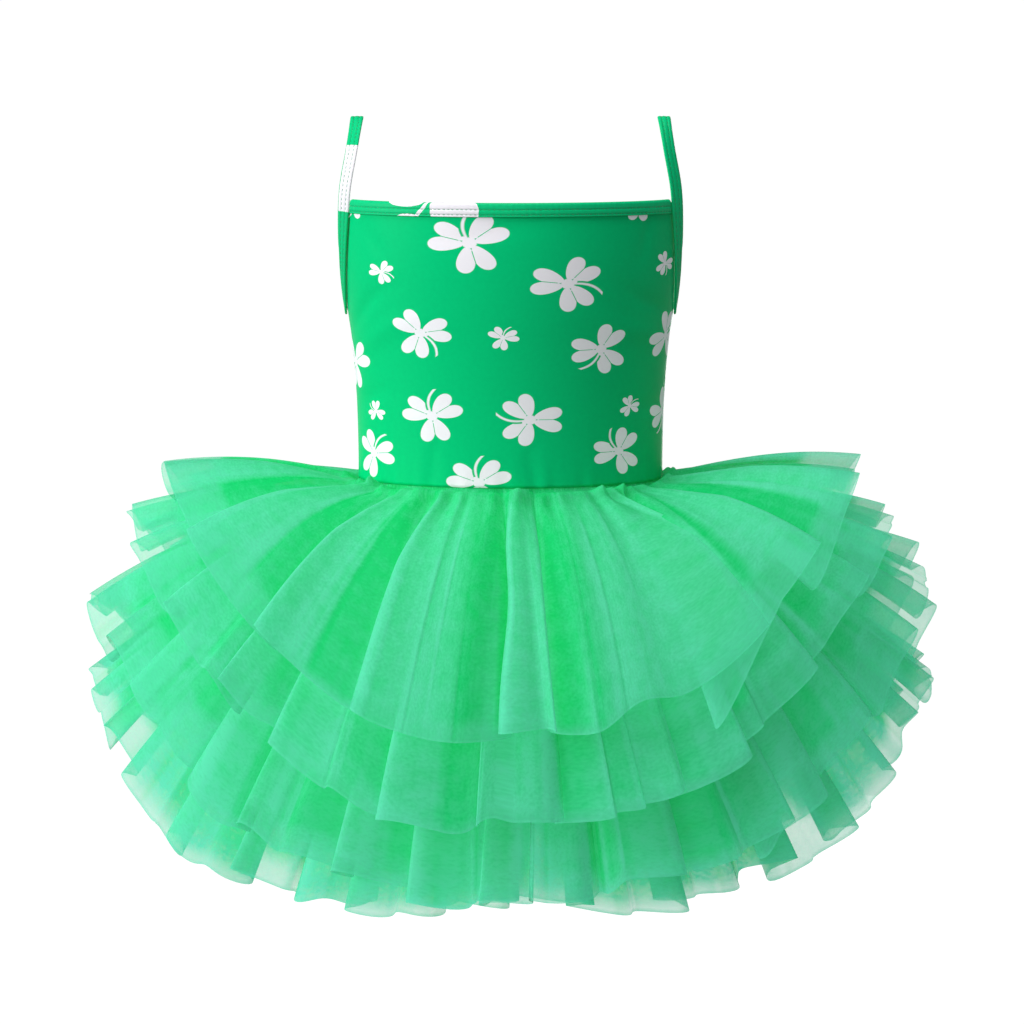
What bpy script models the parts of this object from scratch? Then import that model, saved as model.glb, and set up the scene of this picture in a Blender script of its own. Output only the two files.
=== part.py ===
"""A child's ballet tutu dress, in the hollow form that it has when it is worn.

A camisole bodice of printed stretch knit carries a skirt of four gathered tulle layers.
Metres, +Z up, the front faces -Y. The origin is midway between the two shoulder crests,
where the straps bear. Heights in the tables are above the waist seam.
"""

import math
from collections import namedtuple

import bmesh
import bpy
from mathutils import Vector

# Driving sizes
CREST_RISE = 0.2135  # waist seam up to the underside of the straps on the shoulders
NECK_RISE = 0.1655  # waist seam up to the front neckline
UNDERARM_RISE = 0.0998  # waist seam up to the lowest point of the armhole
BACK_CORNER_RISE = 0.1280  # waist seam up to the back neckline where it meets the straps
BACK_NECK_DIP = 0.0200  # how far the back neckline drops at its centre
KNIT = 0.0010  # wall of the bodice cloth
TULLE = 0.0010  # wall of a tulle layer
BAND = 0.0016  # wall of the strap band, which is folded cloth
BINDING = 0.0010  # wall of the neck bindings
GAP = 0.0003  # clearance between sewn pieces
BINDING_GAP = 0.0004  # between the facets of a neck binding and those of its panel
STRAP_WIDTH = 0.0078
UNDERARM_WIDTH = 0.0052  # the band is narrower where it turns under the arm
BAND_LAP = 0.0025  # how far the band covers the panels' edges
BINDING_HEIGHT = 0.0080
NECK_COLUMNS = 24  # facets along each neckline
SIDE_SEAM = 90.0  # degrees round from the centre front
FRONT_CORNER = 69.8  # azimuth of the strap's inner edge at the front neckline
BACK_CORNER = 107.5  # and at the back neckline
BINDING_INSET = 0.9  # degrees between a neck binding's end and the strap's inner edge
PANEL_LAP = 2.0  # degrees that a panel runs on under the strap
ARMHOLE_ROUND = 1.45  # a low power makes a deep armhole, round at its lowest point
BAND_TURN = 0.48  # how far the band turns from the body's surface to face the front

# Half sizes of the figure's oval sections
Section = namedtuple("Section", "height half_width half_depth")
FIGURE = (
    Section(0.000, 0.0910, 0.0650),
    Section(0.025, 0.0912, 0.0645),
    Section(0.052, 0.0922, 0.0650),
    Section(0.080, 0.0944, 0.0665),
    Section(0.102, 0.0974, 0.0680),
    Section(0.125, 0.1000, 0.0690),
    Section(0.150, 0.1010, 0.0690),
    Section(0.172, 0.1000, 0.0680),
    Section(0.195, 0.0957, 0.0680),
    Section(0.215, 0.0920, 0.0680),
)

# Each tulle layer, from the top one down. Drops are below the end of its heading. A rise is
# how high above the straight line the cloth arches near the seam. bend says how late, going
# round from front to side, the hem climbs. depth is that of a fold at the hem.
Layer = namedtuple(
    "Layer",
    "heading half_width half_depth side_drop front_drop side_rise front_rise bend depth",
)
LAYERS = (
    Layer(0.0030, 0.205, 0.172, -0.008, 0.127, 0.010, 0.034, 2.5, 0.024),
    Layer(0.0110, 0.229, 0.172, 0.013, 0.169, 0.016, 0.034, 2.5, 0.018),
    Layer(0.0190, 0.247, 0.163, 0.042, 0.204, 0.022, 0.034, 3.1, 0.016),
    Layer(0.0270, 0.246, 0.149, 0.106, 0.205, 0.026, 0.030, 4.0, 0.013),
)

# The top layer's folds, going round from FIRST_FOLD: the width in degrees, and how much longer
# the cloth reaches there, as a share of its length
FIRST_FOLD = -82.5
Fold = namedtuple("Fold", "width longer")
TOP_FOLDS = (
    Fold(20, -0.02),
    Fold(19, 0.01),
    Fold(17, 0.00),
    Fold(25, 0.02),
    Fold(9.5, 0.02),
    Fold(32, 0.02),
    Fold(17, -0.02),
    Fold(18, 0.01),
    Fold(20, -0.02),
    Fold(20, 0.02),
    Fold(18, -0.01),
    Fold(18, 0.02),
    Fold(19, 0.00),
    Fold(19, 0.03),
    Fold(18, -0.01),
    Fold(20, 0.02),
    Fold(24, -0.02),
    Fold(26.5, 0.01),
)

# The lower layers' folds: how many, where they start, how uneven they are, and their rhythm
Gather = namedtuple("Gather", "count first uneven rhythm")
GATHERS = (
    Gather(26, -75.0, 0.30, 2.4),
    Gather(30, -84.0, 0.26, 3.7),
    Gather(36, -79.0, 0.28, 4.4),
)
UNEVEN_HEM = 0.02  # share of its length by which a lower layer's folds differ at the hem
TOP_STEPS = (0.0, 0.06, 0.16, 0.32, 0.5, 0.68, 0.84, 0.94)
SECOND_STEPS = (0.0, 0.14, 0.4, 0.62, 0.88)
LOWER_STEPS = (0.0, 0.2, 0.5, 0.8)
RUNS = (0.2, 0.55, 1.0)  # stations from the end of the heading to the hem
CREST_SHARE = 0.45  # of a fold's depth, how much stands outside the layer's own surface
CREST_FLATNESS = 4.0  # a high power makes broad folds with narrow valleys
SCALLOPS = (0.05, 0.04, 0.022, 0.014)  # how much longer each layer reaches at a fold's crest
LEAN = 3.0  # degrees that a fold's crest leans round at the hem

# Finishes: sRGB colour and roughness
Finish = namedtuple("Finish", "colour roughness")
KNIT_GREEN = Finish((0.02, 0.69, 0.42), 0.45)
TRIM_GREEN = Finish((0.02, 0.66, 0.40), 0.40)
TULLE_GREEN = Finish((0.32, 0.88, 0.62), 0.60)

AZIMUTH_STEP = 0.01  # degrees, for slopes taken by differences
RUN_STEP = 0.001


def clear_scene():
    for old in list(bpy.data.objects):
        bpy.data.objects.remove(old, do_unlink=True)


def smooth_value(rows, at, item):
    """One column of a table at a height between its rows, on a smooth curve."""
    places = [row[0] for row in rows]
    values = [row[item] for row in rows]
    last = len(rows) - 1
    at = min(max(at, places[0]), places[last])
    i = min(max(k for k in range(last) if places[k] <= at), last - 1)

    def slope(k):
        low, high = max(k - 1, 0), min(k + 1, last)
        return (values[high] - values[low]) / (places[high] - places[low])

    span = places[i + 1] - places[i]
    t = (at - places[i]) / span
    start = (2 * t**3 - 3 * t**2 + 1) * values[i] + (t**3 - 2 * t**2 + t) * span * slope(i)
    end = (3 * t**2 - 2 * t**3) * values[i + 1] + (t**3 - t**2) * span * slope(i + 1)
    return start + end


def figure_point(azimuth, height, outward=0.0):
    """A point of the figure's surface, moved outward from it. Azimuth 0 is the centre front."""
    a = math.radians(azimuth)
    half_width = smooth_value(FIGURE, height, 1)
    half_depth = smooth_value(FIGURE, height, 2)
    point = Vector((half_width * math.sin(a), -half_depth * math.cos(a), height - CREST_RISE))
    normal = Vector((math.sin(a) / half_width, -math.cos(a) / half_depth, 0.0)).normalized()
    return point + normal * outward


def shoulder_point(azimuth, turn):
    """A point of the shoulder, which closes over the armhole. A turn of 90 degrees is its crest."""
    a, t = math.radians(azimuth), math.radians(turn)
    height = NECK_RISE + (CREST_RISE - NECK_RISE) * math.sin(t)
    half_width = smooth_value(FIGURE, height, 1)
    half_depth = smooth_value(FIGURE, NECK_RISE, 2)
    depth = half_depth * abs(math.cos(a)) * math.cos(t)
    return Vector((half_width * math.sin(a), -depth, height - CREST_RISE))


def armhole_reach(height, bottom, top):
    """How far an armhole's edge is from the side seam at a height: 0 at its bottom, 1 at its top."""
    t = min(max((height - bottom) / (top - bottom), 0.0), 1.0)
    return math.sqrt(1 - (1 - t) ** ARMHOLE_ROUND)


def back_top(azimuth):
    """Height of the back panel's top edge: the armhole's back part, then the back neckline."""
    from_centre = abs(180.0 - azimuth)
    corner = 180.0 - BACK_CORNER + PANEL_LAP
    if from_centre > corner:
        reach = (SIDE_SEAM - from_centre) / (SIDE_SEAM - corner)
        t = 1 - (1 - max(reach, 0.0) ** 2) ** (1 / ARMHOLE_ROUND)
        return UNDERARM_RISE + (BACK_CORNER_RISE - UNDERARM_RISE) * t
    return BACK_CORNER_RISE - BACK_NECK_DIP * (1 - (from_centre / corner) ** 2)


def make_material(name, finish):
    material = bpy.data.materials.new(name)
    material.use_nodes = True
    shader = material.node_tree.nodes["Principled BSDF"]
    linear = [c / 12.92 if c < 0.04045 else ((c + 0.055) / 1.055) ** 2.4 for c in finish.colour]
    shader.inputs["Base Color"].default_value = (*linear, 1.0)
    shader.inputs["Roughness"].default_value = finish.roughness
    shader.inputs["Metallic"].default_value = 0.0
    material.diffuse_color = (*finish.colour, 1.0)
    return material


def make_cloth(name, columns, rows, place, wall, material, parent, closed=False):
    """A wall of cloth: a grid laid by place(column, row), thickened evenly to both sides."""
    mesh = bpy.data.meshes.new(name)
    grid = bmesh.new()
    bmesh.ops.create_grid(grid, x_segments=columns, y_segments=rows, size=1.0)
    for vertex in grid.verts:
        column = round((vertex.co.x + 1) / 2 * columns)
        row = round((vertex.co.y + 1) / 2 * rows)
        vertex.co = place(column, row)
    if closed:
        bmesh.ops.remove_doubles(grid, verts=grid.verts, dist=1e-6)
    grid.to_mesh(mesh)
    grid.free()
    mesh.materials.append(material)
    piece = bpy.data.objects.new(name, mesh)
    bpy.data.collections["ballet_tutu_dress"].objects.link(piece)
    piece.parent = parent
    thick = piece.modifiers.new("Wall", "SOLIDIFY")
    thick.thickness = wall
    thick.offset = 0.0
    thick.use_even_offset = True
    thick.thickness_clamp = 0.0
    mesh.shade_smooth()
    return piece


def neck_stations(first, last):
    """Azimuths of the columns along a neckline, from one corner of the panel to the other."""
    return [first + (last - first) * k / NECK_COLUMNS for k in range(NECK_COLUMNS + 1)]


def make_bodice_front(material, parent):
    corner = FRONT_CORNER + PANEL_LAP
    neck = neck_stations(-corner, corner)
    seam = math.degrees(GAP / 2 / smooth_value(FIGURE, UNDERARM_RISE, 2))
    below = [UNDERARM_RISE * k / 4 for k in range(4)]
    beside = [UNDERARM_RISE + (NECK_RISE - UNDERARM_RISE) * (k / 5) ** 2 for k in range(5)]
    heights = below + beside + [NECK_RISE - BINDING_HEIGHT, NECK_RISE]

    def place(column, row):
        height = heights[row]
        reach = armhole_reach(height, UNDERARM_RISE, NECK_RISE)
        edge = SIDE_SEAM - seam - (SIDE_SEAM - seam - corner) * reach
        return figure_point(neck[column] * edge / corner, height, -KNIT / 2)

    rows = len(heights) - 1
    return make_cloth("bodice_front", NECK_COLUMNS, rows, place, KNIT, material, parent)


def make_bodice_back(material, parent):
    corner = BACK_CORNER - PANEL_LAP
    seam = math.degrees(GAP / 2 / smooth_value(FIGURE, UNDERARM_RISE, 2))
    side = [SIDE_SEAM + seam + (corner - SIDE_SEAM - seam) * k / 5 for k in range(5)]
    neck = neck_stations(corner, 360.0 - corner)
    azimuths = side + neck + [360.0 - azimuth for azimuth in reversed(side)]
    rows = 8

    def place(column, row):
        azimuth = azimuths[column]
        top = back_top(azimuth)
        height = top if row == rows else (top - BINDING_HEIGHT) * row / (rows - 1)
        return figure_point(azimuth, height, -KNIT / 2)

    columns = len(azimuths) - 1
    return make_cloth("bodice_back", columns, rows, place, KNIT, material, parent)


def make_neck_binding(name, corners, ends, top_edge, material, parent):
    """A strip folded over the top edge of a panel, with a leg outside and a leg inside."""
    inner = neck_stations(*corners)[1:-1]
    azimuths = [ends[0]] + inner + [ends[1]]
    outside = BINDING_GAP + BINDING / 2
    inside = -(KNIT + BINDING_GAP + BINDING / 2)
    middle = (outside + inside) / 2
    leg = BINDING_HEIGHT - 0.0015
    fold = (
        (outside, -leg),
        (outside, 0.0004),
        (middle, 0.0015),
        (inside, 0.0004),
        (inside, -leg),
    )

    def place(column, row):
        azimuth = azimuths[column]
        outward, rise = fold[row]
        return figure_point(azimuth, top_edge(azimuth) + rise, outward)

    columns = len(azimuths) - 1
    return make_cloth(name, columns, len(fold) - 1, place, BINDING, material, parent)


def band_line():
    """The inner edge of the band, once round the armhole: points, azimuths, turns and widths."""
    line = []
    over, down, side = 14, 3, 9
    bottom = UNDERARM_RISE - BAND_LAP
    back_rise = BACK_CORNER_RISE + 0.010
    for i in range(over):
        turn = 180.0 * i / over
        share = (1 - math.cos(math.radians(turn))) / 2
        azimuth = FRONT_CORNER + (180.0 - BACK_CORNER - FRONT_CORNER) * share
        point = shoulder_point(azimuth, turn)
        across = shoulder_point(azimuth + AZIMUTH_STEP, turn) - point
        line.append((point, across.normalized(), BAND_TURN, STRAP_WIDTH))
    for i in range(down):
        height = NECK_RISE + (back_rise - NECK_RISE) * i / down
        line.append((figure_point(BACK_CORNER, height), None, BAND_TURN, STRAP_WIDTH))
    for corner, top, order in (
        (BACK_CORNER, back_rise, range(side, 0, -1)),
        (FRONT_CORNER, NECK_RISE, range(side)),
    ):
        for i in order:
            share = (i / side) ** 2
            height = bottom + (top - bottom) * share
            reach = armhole_reach(height, bottom, top)
            azimuth = SIDE_SEAM + (corner - SIDE_SEAM) * reach
            width = UNDERARM_WIDTH + (STRAP_WIDTH - UNDERARM_WIDTH) * share
            line.append((figure_point(azimuth, height), None, BAND_TURN * share, width))
    return line


def make_strap(name, side, material, parent):
    """One band that binds the armhole and goes on over the shoulder as the strap."""
    line = band_line()
    count = len(line)
    sections = []
    for i, (point, across, turn, width) in enumerate(line):
        forward = (line[(i + 1) % count][0] - line[i - 1][0]).normalized()
        if across is None:
            normal = Vector((point.x / 0.100**2, point.y / 0.068**2, 0.0)).normalized()
            across = forward.cross(normal).normalized()
        across = across.lerp(Vector((1.0, 0.0, 0.0)), turn)
        across = (across - forward * across.dot(forward)).normalized()
        normal = across.cross(forward).normalized()
        inner = point + normal * (2 * GAP + BAND / 2)
        sections.append((inner, inner + across * width))

    def place(column, row):
        point = sections[column % count][row]
        return Vector((side * point.x, point.y, point.z))

    return make_cloth(name, count, 1, place, BAND, material, parent, closed=True)


def fold_edges(index):
    """Azimuths of a layer's valleys, once round, starting and ending at the same place."""
    if index == 0:
        first, widths = FIRST_FOLD, [fold.width for fold in TOP_FOLDS]
    else:
        gather = GATHERS[index - 1]
        first = gather.first
        shares = [
            1 + gather.uneven * math.sin(gather.rhythm * k) for k in range(gather.count)
        ]
        widths = [360.0 * share / sum(shares) for share in shares]
    edges = [first]
    for width in widths:
        edges.append(edges[-1] + width)
    return edges


def layer_point(index, azimuth, run):
    """A point of a tulle layer's own surface, before its folds. Run 0 is the heading's end."""
    layer = LAYERS[index]
    a = math.radians(azimuth)
    inset = TULLE / 2 + index * (TULLE + GAP)
    start = figure_point(azimuth, 0.0, -inset)
    start.z -= layer.heading
    sideways = abs(math.sin(a)) ** layer.bend
    drop = layer.front_drop + (layer.side_drop - layer.front_drop) * sideways
    rise = layer.front_rise + (layer.side_rise - layer.front_rise) * sideways
    hem = Vector((layer.half_width * math.sin(a), -layer.half_depth * math.cos(a), start.z - drop))
    point = start.lerp(hem, run)
    point.z += 2 * run * (1 - run) * rise
    return point


def fold_height(across):
    """Shape of one fold: 0 in the valleys at either side, 1 over its broad crest."""
    return 1 - abs(2 * across - 1) ** CREST_FLATNESS


def fold_length(index, fold):
    """How much longer than its layer a fold is, as a share of the layer's length."""
    if index == 0:
        return TOP_FOLDS[fold].longer
    return UNEVEN_HEM * math.sin(1.9 * fold + index)


def tulle_point(index, fold, edges, across, run):
    """A point of a tulle layer with its folds. across goes from 0 to 1 over one fold."""
    layer = LAYERS[index]
    width = edges[fold + 1] - edges[fold]
    azimuth = edges[fold] + width * across
    azimuth += LEAN * run * math.sin(math.pi * across) * math.sin(2.1 * fold + index)
    height = fold_height(across)
    reach = run * (1 + SCALLOPS[index] * (height - 0.5) + fold_length(index, fold) * height)
    point = layer_point(index, azimuth, reach)
    round_it = layer_point(index, azimuth + AZIMUTH_STEP, reach) - point
    down_it = layer_point(index, azimuth, reach + RUN_STEP) - point
    normal = round_it.cross(down_it).normalized()
    if normal.z < 0:
        normal.negate()
    even_width = 360.0 / (len(edges) - 1)
    a = math.radians(azimuth)
    narrow = math.hypot(math.cos(a), layer.half_depth / layer.half_width * math.sin(a))
    depth = layer.depth * min(0.7 + 0.3 * width / even_width, 1.0) * narrow * run
    return point + normal * depth * (height - 1 + CREST_SHARE)


def make_tulle_layer(index, steps, material, parent):
    """One gathered layer: an upright heading in the waist seam, then folds out to the hem."""
    edges = fold_edges(index)
    places = [(fold, across) for fold in range(len(edges) - 1) for across in steps]
    columns = len(places)

    def place(column, row):
        fold, across = places[column % columns]
        if row > 1:
            return tulle_point(index, fold, edges, across, RUNS[row - 2])
        azimuth = edges[fold] + (edges[fold + 1] - edges[fold]) * across
        point = layer_point(index, azimuth, 0.0)
        if row == 0:
            point.z = -CREST_RISE - GAP
        return point

    name = f"tulle_layer_{index + 1}"
    rows = len(RUNS) + 1
    return make_cloth(name, columns, rows, place, TULLE, material, parent, closed=True)


def main():
    clear_scene()
    collection = bpy.data.collections.new("ballet_tutu_dress")
    bpy.context.scene.collection.children.link(collection)
    dress = bpy.data.objects.new("dress", None)
    collection.objects.link(dress)
    knit = make_material("knit_green", KNIT_GREEN)
    trim = make_material("trim_green", TRIM_GREEN)
    tulle = make_material("tulle_green", TULLE_GREEN)
    make_bodice_front(knit, dress)
    make_bodice_back(knit, dress)
    corner, end = FRONT_CORNER + PANEL_LAP, FRONT_CORNER - BINDING_INSET
    make_neck_binding(
        "neck_binding_front", (-corner, corner), (-end, end), lambda azimuth: NECK_RISE, trim, dress
    )
    corner, end = BACK_CORNER - PANEL_LAP, BACK_CORNER + BINDING_INSET
    make_neck_binding(
        "neck_binding_back", (corner, 360.0 - corner), (end, 360.0 - end), back_top, trim, dress
    )
    make_strap("strap_left", 1, trim, dress)
    make_strap("strap_right", -1, trim, dress)
    for index, steps in enumerate((TOP_STEPS, SECOND_STEPS, LOWER_STEPS, LOWER_STEPS)):
        make_tulle_layer(index, steps, tulle, dress)


main()
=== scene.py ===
# %% [markdown]
# # A child's ballet tutu dress
#
# The dress is a camisole bodice of printed stretch knit over a skirt of four gathered tulle
# layers. It keeps the hollow form that it has when a child wears it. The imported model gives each
# piece a plain wall in the right place. This script lays the finished cloth over those walls and
# gives it its folds, stitches and finishes.

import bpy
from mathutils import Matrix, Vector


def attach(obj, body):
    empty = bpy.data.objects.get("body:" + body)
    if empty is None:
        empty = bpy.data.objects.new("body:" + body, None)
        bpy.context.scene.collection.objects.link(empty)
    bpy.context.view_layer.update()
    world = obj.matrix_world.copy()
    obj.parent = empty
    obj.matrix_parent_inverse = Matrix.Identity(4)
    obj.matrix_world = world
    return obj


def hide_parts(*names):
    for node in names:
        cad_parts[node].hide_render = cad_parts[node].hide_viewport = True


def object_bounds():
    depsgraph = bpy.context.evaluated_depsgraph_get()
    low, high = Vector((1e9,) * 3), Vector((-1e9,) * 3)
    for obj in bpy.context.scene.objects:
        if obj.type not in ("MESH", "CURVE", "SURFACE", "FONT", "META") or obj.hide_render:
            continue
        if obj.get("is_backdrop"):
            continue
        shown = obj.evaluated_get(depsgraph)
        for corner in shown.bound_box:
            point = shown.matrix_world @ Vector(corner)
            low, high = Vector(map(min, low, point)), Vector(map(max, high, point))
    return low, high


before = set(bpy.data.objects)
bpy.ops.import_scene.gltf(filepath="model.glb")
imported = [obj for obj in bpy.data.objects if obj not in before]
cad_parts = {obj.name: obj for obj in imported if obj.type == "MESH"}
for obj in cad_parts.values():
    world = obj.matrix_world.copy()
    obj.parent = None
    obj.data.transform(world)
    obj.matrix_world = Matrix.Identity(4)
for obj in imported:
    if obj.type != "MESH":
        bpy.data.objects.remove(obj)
cad_bounds = [list(map(float, corner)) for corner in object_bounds()]

import math
from collections import namedtuple
from functools import partialmethod

import bpy
import numpy as np
from mathutils import Vector

bpy.ops.object.select_all(action="DESELECT")
print("model box in metres:", [[round(value, 4) for value in corner] for corner in cad_bounds])

# %% [markdown]
# ## Helpers for points
#
# Points are kept in arrays, with x, y and z in metres. A few short functions serve all pieces.


# %% Directions, lengths and soft bumps
def unit(vectors):
    return vectors / np.linalg.norm(vectors, axis=-1, keepdims=True)


def bump(value, middle, width):
    return np.exp(-(((value - middle) / width) ** 2))


def between(first, last, share):
    return first + (last - first) * share


def step_lengths(points, axis=0):
    """Distance from each point to the next along an axis."""
    return np.linalg.norm(np.diff(points, axis=axis), axis=-1)


def running_total(lengths):
    return np.concatenate([[0.0], np.cumsum(lengths)])


def read_off(wanted, places, table):
    """Rows of a table at the wanted places, between the places of its own rows."""
    return np.stack([np.interp(wanted, places, column) for column in table.T], axis=-1)


print("helpers for points are ready")

# %% [markdown]
# ## The figure under the bodice
#
# Stretch knit takes the shape of the body in it. The body is a general child's figure, given by
# oval sections at a few heights above the waist seam. A smooth curve joins the rows, so any
# height has its own half width and half depth. The same sections shaped the solids, which is why
# the cloth lands on them.

# %% Sections of the figure, and a point anywhere on it
CREST_RISE = 0.2135  # from the waist seam up to the crest of the shoulders
NECK_RISE = 0.1655
UNDERARM_RISE = 0.0998
BACK_CORNER_RISE = 0.1280
BACK_NECK_DIP = 0.0200
FIGURE_MM = (  # height above the waist seam, half width and half depth
    (0, 91.0, 65.0), (25, 91.2, 64.5), (52, 92.2, 65.0), (80, 94.4, 66.5), (102, 97.4, 68.0),
    (125, 100.0, 69.0), (150, 101.0, 69.0), (172, 100.0, 68.0), (195, 95.7, 68.0),
    (215, 92.0, 68.0),
)


def figure_size(height, column):
    """Half width (column 1) or half depth (column 2) at any heights, on a smooth curve."""
    places, values = (np.array(FIGURE_MM)[:, part] / 1000 for part in (0, column))
    last = len(places) - 1
    k = np.arange(last + 1)
    low, high = np.maximum(k - 1, 0), np.minimum(k + 1, last)
    slopes = (values[high] - values[low]) / (places[high] - places[low])
    at = np.clip(height, places[0], places[-1])
    i = np.clip(np.searchsorted(places, at, side="right") - 1, 0, last - 1)
    span = places[i + 1] - places[i]
    t = (at - places[i]) / span
    start = (2 * t**3 - 3 * t**2 + 1) * values[i] + (t**3 - 2 * t**2 + t) * span * slopes[i]
    end = (3 * t**2 - 2 * t**3) * values[i + 1] + (t**3 - t**2) * span * slopes[i + 1]
    return start + end


def figure_points(azimuth, height, outward=0.0):
    """Points of the figure's surface, moved outward. Azimuth 0 is the centre front, in degrees."""
    azimuth, height, outward = np.broadcast_arrays(azimuth, height, outward)
    a = np.radians(azimuth)
    half_width, half_depth = figure_size(height, 1), figure_size(height, 2)
    x, y = np.sin(a) / half_width, -np.cos(a) / half_depth
    size = np.hypot(x, y)
    return np.stack(
        [
            half_width * np.sin(a) + outward * x / size,
            -half_depth * np.cos(a) + outward * y / size,
            height - CREST_RISE,
        ],
        axis=-1,
    )


girth = step_lengths(figure_points(np.linspace(0, 360, 361), 0.125)).sum()
print(f"girth of the figure at the chest: {girth * 1000:.0f} mm")

# %% [markdown]
# ## A sheet of cloth from a grid
#
# Cloth is one continuous surface, so each piece is a grid of points whose rows and columns
# follow the weave. Its UV map is laid out flat in millimetres, like the cut piece on a table,
# so that prints and weaves keep their true scale on it. A ring, such as a skirt layer, is
# closed by running the last column of faces back to the first column of points.


# %% Build a mesh from a grid of points
def put_in_scene(name, data):
    thing = bpy.data.objects.new(name, data)
    bpy.context.scene.collection.objects.link(thing)
    return thing


def smooth_object(name, points, faces):
    mesh = bpy.data.meshes.new(name)
    mesh.from_pydata(points, [], faces)
    mesh.shade_smooth()
    return put_in_scene(name, mesh)


def make_cloth(name, points, flat, ring=False, flip=False):
    """A mesh from rows x columns points. flat holds their places on the cut cloth, in mm."""
    rows, columns = points.shape[:2]
    spans = columns if ring else columns - 1
    r, c = np.meshgrid(np.arange(rows - 1), np.arange(spans), indexing="ij")
    after = (c + 1) % columns
    corners = [r * columns + c, r * columns + after, (r + 1) * columns + after]
    corners.append((r + 1) * columns + c)
    places = [flat[r, c], flat[r, c + 1], flat[r + 1, c + 1], flat[r + 1, c]]
    if flip:
        corners.reverse()
        places.reverse()
    faces = np.stack(corners, axis=-1).reshape(-1, 4)
    piece = smooth_object(name, points.reshape(-1, 3).tolist(), faces.tolist())
    layer = piece.data.uv_layers.new(name="flat_mm")
    layer.data.foreach_set("uv", np.stack(places, axis=-2).reshape(-1))
    return piece


def flat_places(points, across_first):
    """Places on the flat cloth in mm: along each row by its mean column, up by arc length."""
    u = running_total(step_lengths(points, 1).mean(axis=0)) * 1000 + across_first
    v = running_total(step_lengths(points, 0).mean(axis=1)) * 1000
    return np.stack(np.meshgrid(u, v), axis=-1)


def give_wall(piece, thickness):
    """The thickness of the cloth, added to the inside of its outer surface."""
    wall = piece.modifiers.new("Wall", "SOLIDIFY")
    wall.thickness = thickness
    wall.offset = -1.0
    return piece


print("cloth helpers are ready")

# %% [markdown]
# ## The bodice panels
#
# The front and back are cut from smooth stretch knit and joined at the side seams. Worn knit
# lies close and nearly smooth. What shows is a few soft drag lines that run from the underarm
# towards the bust, faint ripples above the waist where the seam is gathered in, and a little
# slack at the neck. A table places each of these: where it is, how long and wide it runs,
# which way it turns, and how deep it is.

# %% Soft creases of the bodice
SIDE_SEAM = 90.0
FRONT_CORNER = 69.8
BACK_CORNER = 107.5
PANEL_LAP = 2.0
ARMHOLE_ROUND = 1.45
SEAM_DEGREES = 0.015
FIGURE_RADIUS = 0.085  # on average, to turn degrees into lengths
CREASE_SWAY = 0.0025
PUCKER, PUCKER_RISE = 0.00022, 0.006  # at the waist seam: how deep, and how far up it fades
Crease = namedtuple("Crease", "azimuth height turn length width depth")
CREASES = [  # azimuth and turn in degrees, the rest in mm
    Crease(*row)
    for row in (
        (-62, 104, 24, 30, 5, -0.9), (-55, 88, 16, 36, 6, 0.7), (60, 106, -26, 34, 5, -1.0),
        (54, 90, -18, 34, 6, 0.8), (-66, 50, 6, 26, 5, -0.6), (68, 46, -8, 28, 5, -0.7),
        (-30, 12, 70, 16, 4, -0.6), (8, 10, 82, 15, 4, -0.6), (38, 13, 108, 16, 4, -0.6),
        (-8, 150, 3, 30, 6, -0.6), (52, 146, 60, 18, 5, -0.6), (-54, 144, 118, 18, 5, -0.6),
        (118, 92, 30, 32, 5, -1.0), (126, 76, 22, 36, 6, 0.7), (-120, 94, -28, 30, 5, -0.9),
        (-128, 74, -20, 34, 6, 0.7), (168, 60, 8, 40, 6, -0.9), (-164, 44, -6, 44, 6.5, -0.9),
        (178, 30, 2, 40, 6, 0.7), (150, 12, 80, 16, 4, -0.6), (-146, 12, 96, 16, 4, -0.6),
    )
]


def crease_height(azimuth, height):
    """How far the knit stands off the smooth figure: soft uneven ridges and troughs."""
    total = np.zeros(np.broadcast(azimuth, height).shape)
    for crease in CREASES:
        length, width, depth = np.array(crease[3:]) / 1000
        round_by = np.radians((azimuth - crease.azimuth + 180) % 360 - 180) * FIGURE_RADIUS
        up_by = height - crease.height / 1000
        turn = math.radians(crease.turn)
        along = round_by * math.cos(turn) + up_by * math.sin(turn)
        beside = up_by * math.cos(turn) - round_by * math.sin(turn)
        beside = beside - CREASE_SWAY * np.sin(along / length * 2.6)
        total += depth * bump(beside, 0, width) * np.exp(-((along / length) ** 2) * 1.5)
    pucker = np.sin(np.radians(azimuth) * 37) + 0.7 * np.sin(np.radians(azimuth) * 59 + 1.0)
    return total + PUCKER * pucker * np.exp(-np.asarray(height) / PUCKER_RISE)


def armhole_reach(height, bottom, top):
    """How far an armhole's edge is from the side seam: 0 at its lowest point, 1 at its top."""
    t = np.clip((height - bottom) / (top - bottom), 0.0, 1.0)
    return np.sqrt(1 - (1 - t) ** ARMHOLE_ROUND)


def front_top(azimuth):
    return NECK_RISE + 0 * azimuth


def back_top(azimuth):
    """Height of the back panel's top edge: the armhole's back part, then the back neckline."""
    from_centre = np.abs(180.0 - np.asarray(azimuth, float))
    corner = 180.0 - BACK_CORNER + PANEL_LAP
    reach = np.clip((SIDE_SEAM - from_centre) / (SIDE_SEAM - corner), 0.0, 1.0)
    t = 1 - (1 - reach**2) ** (1 / ARMHOLE_ROUND)
    side = between(UNDERARM_RISE, BACK_CORNER_RISE, t)
    neck = BACK_CORNER_RISE - BACK_NECK_DIP * (1 - (from_centre / corner) ** 2)
    return np.where(from_centre > corner, side, neck)


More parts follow.
